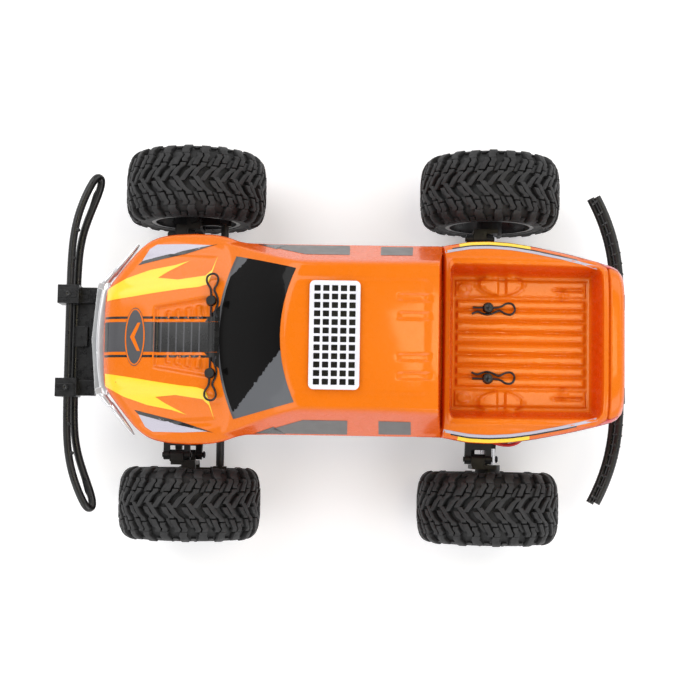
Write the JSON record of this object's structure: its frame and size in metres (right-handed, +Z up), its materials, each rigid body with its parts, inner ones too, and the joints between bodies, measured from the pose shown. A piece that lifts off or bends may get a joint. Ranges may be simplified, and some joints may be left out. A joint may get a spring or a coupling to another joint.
{
  "type": "remote control monster truck",
  "caption": "Battery-powered toy monster truck with a thin pickup body shell, large chevron tyres, sprung arms and double-bar bumpers.",
  "frame": {"origin": "on the ground midway between the axles, under the middle of the truck", "axes": "+X forward, +Y to the truck's left, +Z up"},
  "size_m": [0.3346, 0.233, 0.1406],
  "materials": {
    "tyre": "soft moulded rubber, matt",
    "rim": "moulded rim, dark graphite",
    "black_plastic": "glass-filled nylon, satin",
    "chassis_plastic": "moulded nylon, satin",
    "bumper_plastic": "satin black nylon",
    "shock_body": "moulded black cylinder",
    "steel": "plain turned steel",
    "spring_steel": "plated spring wire",
    "clip_steel": "plated spring wire",
    "motor_can": "drawn steel can",
    "brass": "machined brass",
    "gear_plastic": "off-white acetal",
    "body_paint": "polycarbonate painted orange, gloss, printed graphics",
    "vent_plastic": "silver-white moulded grid",
    "chrome_trim": "vacuum-plated plastic",
    "battery_wrap": "heat-shrink wrap",
    "wire_red": "silicone insulation"
  },
  "bodies": {
    "chassis": {"chassis_tub": "chassis_plastic", "front_bulkhead": "chassis_plastic", "gearbox_housing": "chassis_plastic", "shock_towers": "black_plastic", "body_posts": "black_plastic", "body_shell": "body_paint", "roof_vent": "vent_plastic", "front_grille": "chrome_trim", "body_clips": "clip_steel", "front_bumper": "bumper_plastic", "rear_bumper": "bumper_plastic", "battery_pack": "battery_wrap", "electronics_box": "black_plastic", "motor_wires": "wire_red", "steering_servo": "black_plastic", "motor": "motor_can"},
    "steer_link": {"steering_link": "black_plastic"},
    "horn": {"servo_horn": "black_plastic"},
    "gear": {"drive_gear": "gear_plastic"},
    "pinion": {"motor_pinion": "brass"},
    "lower_arm_b_fl": {"lower_arm_fl": "black_plastic"},
    "upper_arm_b_fl": {"upper_arm_fl": "black_plastic"},
    "shock_b_fl": {"shock_body_fl": "shock_body"},
    "shock_r_fl": {"shock_rod_fl": "steel", "spring_fl": "spring_steel"},
    "hub_fl": {"c_hub_l": "black_plastic"},
    "wheel_b_fl": {"tyre_fl": "tyre", "rim_fl": "rim"},
    "knuckle_l": {"steering_knuckle_l": "black_plastic"},
    "tie_rod_b_l": {"tie_rod_l": "black_plastic"},
    "lower_arm_b_fr": {"lower_arm_fr": "black_plastic"},
    "upper_arm_b_fr": {"upper_arm_fr": "black_plastic"},
    "shock_b_fr": {"shock_body_fr": "shock_body"},
    "shock_r_fr": {"shock_rod_fr": "steel", "spring_fr": "spring_steel"},
    "hub_fr": {"c_hub_r": "black_plastic"},
    "wheel_b_fr": {"tyre_fr": "tyre", "rim_fr": "rim"},
    "knuckle_r": {"steering_knuckle_r": "black_plastic"},
    "tie_rod_b_r": {"tie_rod_r": "black_plastic"},
    "lower_arm_b_rl": {"lower_arm_rl": "black_plastic"},
    "upper_arm_b_rl": {"upper_arm_rl": "black_plastic"},
    "shock_b_rl": {"shock_body_rl": "shock_body"},
    "shock_r_rl": {"shock_rod_rl": "steel", "spring_rl": "spring_steel"},
    "hub_rl": {"hub_carrier_l": "black_plastic"},
    "wheel_b_rl": {"tyre_rl": "tyre", "rim_rl": "rim", "rear_axle_l": "steel"},
    "drive_shaft_b_l": {"drive_shaft_l": "steel"},
    "lower_arm_b_rr": {"lower_arm_rr": "black_plastic"},
    "upper_arm_b_rr": {"upper_arm_rr": "black_plastic"},
    "shock_b_rr": {"shock_body_rr": "shock_body"},
    "shock_r_rr": {"shock_rod_rr": "steel", "spring_rr": "spring_steel"},
    "hub_rr": {"hub_carrier_r": "black_plastic"},
    "wheel_b_rr": {"tyre_rr": "tyre", "rim_rr": "rim", "rear_axle_r": "steel"},
    "drive_shaft_b_r": {"drive_shaft_r": "steel"}
  },
  "joints": [
    {"name": "suspension_fl", "type": "hinge", "parent": "chassis", "child": "lower_arm_b_fl", "pos_m": [0.092, 0.024, 0.034], "axis": [1, 0, 0], "range_deg": [-9, 10], "stiffness_Nm_per_rad": 1.2},
    {"name": "upper_arm_fl", "type": "hinge", "parent": "chassis", "child": "upper_arm_b_fl", "pos_m": [0.0965, 0.024, 0.058], "axis": [1, 0, 0], "range_deg": [-9, 10]},
    {"name": "hub_fl", "type": "hinge", "parent": "lower_arm_b_fl", "child": "hub_fl", "pos_m": [0.092, 0.066, 0.03], "axis": [1, 0, 0], "range_deg": [-10, 9]},
    {"name": "shock_swing_fl", "type": "hinge", "parent": "chassis", "child": "shock_b_fl", "pos_m": [0.081, 0.03, 0.086], "axis": [1, 0, 0], "range_deg": [-5, 5]},
    {"name": "shock_stroke_fl", "type": "slide", "parent": "shock_b_fl", "child": "shock_r_fl", "axis": [0, 0.4472, -0.8944], "range_m": [-0.0055, 0.005], "deforming": ["spring_fl"]},
    {"name": "kingpin_l", "type": "hinge", "parent": "hub_fl", "child": "knuckle_l", "pos_m": [0.0895, 0.076, 0.0425], "axis": [0, 0, 1], "range_deg": [-19, 19]},
    {"name": "tie_rod_l", "type": "hinge", "parent": "steer_link", "child": "tie_rod_b_l", "pos_m": [0.0715, 0.024, 0.05], "axis": [1, 0, 0], "range_deg": [-9, 10]},
    {"name": "wheel_fl", "type": "hinge", "parent": "knuckle_l", "child": "wheel_b_fl", "pos_m": [0.0895, 0.0948, 0.0425], "axis": [0, 1, 0], "continuous": true},
    {"name": "suspension_fr", "type": "hinge", "parent": "chassis", "child": "lower_arm_b_fr", "pos_m": [0.092, -0.024, 0.034], "axis": [-1, 0, 0], "range_deg": [-9, 10], "stiffness_Nm_per_rad": 1.2},
    {"name": "upper_arm_fr", "type": "hinge", "parent": "chassis", "child": "upper_arm_b_fr", "pos_m": [0.0965, -0.024, 0.058], "axis": [-1, 0, 0], "range_deg": [-9, 10]},
    {"name": "hub_fr", "type": "hinge", "parent": "lower_arm_b_fr", "child": "hub_fr", "pos_m": [0.092, -0.066, 0.03], "axis": [-1, 0, 0], "range_deg": [-10, 9]},
    {"name": "shock_swing_fr", "type": "hinge", "parent": "chassis", "child": "shock_b_fr", "pos_m": [0.081, -0.03, 0.086], "axis": [-1, 0, 0], "range_deg": [-5, 5]},
    {"name": "shock_stroke_fr", "type": "slide", "parent": "shock_b_fr", "child": "shock_r_fr", "axis": [0, -0.4472, -0.8944], "range_m": [-0.0055, 0.005], "deforming": ["spring_fr"]},
    {"name": "kingpin_r", "type": "hinge", "parent": "hub_fr", "child": "knuckle_r", "pos_m": [0.0895, -0.076, 0.0425], "axis": [0, 0, 1], "range_deg": [-19, 19]},
    {"name": "tie_rod_r", "type": "hinge", "parent": "steer_link", "child": "tie_rod_b_r", "pos_m": [0.0715, -0.024, 0.05], "axis": [-1, 0, 0], "range_deg": [-9, 10]},
    {"name": "wheel_fr", "type": "hinge", "parent": "knuckle_r", "child": "wheel_b_fr", "pos_m": [0.0895, -0.0948, 0.0425], "axis": [0, 1, 0], "continuous": true},
    {"name": "suspension_rl", "type": "hinge", "parent": "chassis", "child": "lower_arm_b_rl", "pos_m": [-0.087, 0.024, 0.034], "axis": [1, 0, 0], "range_deg": [-9, 10], "stiffness_Nm_per_rad": 1.2},
    {"name": "upper_arm_rl", "type": "hinge", "parent": "chassis", "child": "upper_arm_b_rl", "pos_m": [-0.0825, 0.024, 0.058], "axis": [1, 0, 0], "range_deg": [-9, 10]},
    {"name": "hub_rl", "type": "hinge", "parent": "lower_arm_b_rl", "child": "hub_rl", "pos_m": [-0.087, 0.066, 0.03], "axis": [1, 0, 0], "range_deg": [-10, 9]},
    {"name": "shock_swing_rl", "type": "hinge", "parent": "chassis", "child": "shock_b_rl", "pos_m": [-0.098, 0.03, 0.086], "axis": [1, 0, 0], "range_deg": [-5, 5]},
    {"name": "shock_stroke_rl", "type": "slide", "parent": "shock_b_rl", "child": "shock_r_rl", "axis": [0, 0.4472, -0.8944], "range_m": [-0.0055, 0.005], "deforming": ["spring_rl"]},
    {"name": "wheel_rl", "type": "hinge", "parent": "hub_rl", "child": "wheel_b_rl", "pos_m": [-0.0895, 0.0948, 0.0425], "axis": [0, 1, 0], "continuous": true},
    {"name": "drive_shaft_l", "type": "hinge", "parent": "lower_arm_b_rl", "child": "drive_shaft_b_l", "pos_m": [-0.0895, 0.0415, 0.0445], "axis": [0, 0.9955, -0.0948], "continuous": true},
    {"name": "suspension_rr", "type": "hinge", "parent": "chassis", "child": "lower_arm_b_rr", "pos_m": [-0.087, -0.024, 0.034], "axis": [-1, 0, 0], "range_deg": [-9, 10], "stiffness_Nm_per_rad": 1.2},
    {"name": "upper_arm_rr", "type": "hinge", "parent": "chassis", "child": "upper_arm_b_rr", "pos_m": [-0.0825, -0.024, 0.058], "axis": [-1, 0, 0], "range_deg": [-9, 10]},
    {"name": "hub_rr", "type": "hinge", "parent": "lower_arm_b_rr", "child": "hub_rr", "pos_m": [-0.087, -0.066, 0.03], "axis": [-1, 0, 0], "range_deg": [-10, 9]},
    {"name": "shock_swing_rr", "type": "hinge", "parent": "chassis", "child": "shock_b_rr", "pos_m": [-0.098, -0.03, 0.086], "axis": [-1, 0, 0], "range_deg": [-5, 5]},
    {"name": "shock_stroke_rr", "type": "slide", "parent": "shock_b_rr", "child": "shock_r_rr", "axis": [0, -0.4472, -0.8944], "range_m": [-0.0055, 0.005], "deforming": ["spring_rr"]},
    {"name": "wheel_rr", "type": "hinge", "parent": "hub_rr", "child": "wheel_b_rr", "pos_m": [-0.0895, -0.0948, 0.0425], "axis": [0, 1, 0], "continuous": true},
    {"name": "drive_shaft_r", "type": "hinge", "parent": "lower_arm_b_rr", "child": "drive_shaft_b_r", "pos_m": [-0.0895, -0.0415, 0.0445], "axis": [0, 0.9955, 0.0948], "continuous": true},
    {"name": "steer", "type": "slide", "parent": "chassis", "child": "steer_link", "axis": [0, 1, 0], "range_m": [-0.00556, 0.00556]},
    {"name": "servo_horn", "type": "hinge", "parent": "chassis", "child": "horn", "pos_m": [0.0555, 0, 0.053], "axis": [0, 0, 1], "range_deg": [-22, 22]},
    {"name": "drive_gear", "type": "hinge", "parent": "chassis", "child": "gear", "pos_m": [-0.0895, 0, 0.0465], "axis": [0, 1, 0], "continuous": true},
    {"name": "motor_pinion", "type": "hinge", "parent": "chassis", "child": "pinion", "pos_m": [-0.07284, 0.012, 0.04944], "axis": [0, 1, 0], "continuous": true}
  ],
  "couplings": [
    {"joint": "upper_arm_fl", "follows": "suspension_fl", "ratio": 1},
    {"joint": "hub_fl", "follows": "suspension_fl", "ratio": -1},
    {"joint": "shock_swing_fl", "follows": "suspension_fl", "ratio": 0.17701},
    {"joint": "shock_stroke_fl", "follows": "suspension_fl", "m_per_rad": -0.028679},
    {"joint": "kingpin_l", "follows": "steer", "rad_per_m": -56.48},
    {"joint": "tie_rod_l", "follows": "suspension_fl", "ratio": 0.80769},
    {"joint": "upper_arm_fr", "follows": "suspension_fr", "ratio": 1},
    {"joint": "hub_fr", "follows": "suspension_fr", "ratio": -1},
    {"joint": "shock_swing_fr", "follows": "suspension_fr", "ratio": 0.17701},
    {"joint": "shock_stroke_fr", "follows": "suspension_fr", "m_per_rad": -0.028679},
    {"joint": "kingpin_r", "follows": "steer", "rad_per_m": -56.48},
    {"joint": "tie_rod_r", "follows": "suspension_fr", "ratio": 0.80769},
    {"joint": "upper_arm_rl", "follows": "suspension_rl", "ratio": 1},
    {"joint": "hub_rl", "follows": "suspension_rl", "ratio": -1},
    {"joint": "shock_swing_rl", "follows": "suspension_rl", "ratio": 0.17701},
    {"joint": "shock_stroke_rl", "follows": "suspension_rl", "m_per_rad": -0.028679},
    {"joint": "drive_shaft_l", "follows": "wheel_rl", "ratio": 1},
    {"joint": "upper_arm_rr", "follows": "suspension_rr", "ratio": 1},
    {"joint": "hub_rr", "follows": "suspension_rr", "ratio": -1},
    {"joint": "shock_swing_rr", "follows": "suspension_rr", "ratio": 0.17701},
    {"joint": "shock_stroke_rr", "follows": "suspension_rr", "m_per_rad": -0.028679},
    {"joint": "drive_shaft_r", "follows": "wheel_rl", "ratio": 1},
    {"joint": "wheel_rr", "follows": "wheel_rl", "ratio": 1},
    {"joint": "servo_horn", "follows": "steer", "rad_per_m": 63.833},
    {"joint": "drive_gear", "follows": "wheel_rl", "ratio": 1},
    {"joint": "motor_pinion", "follows": "wheel_rl", "ratio": -3}
  ]
}
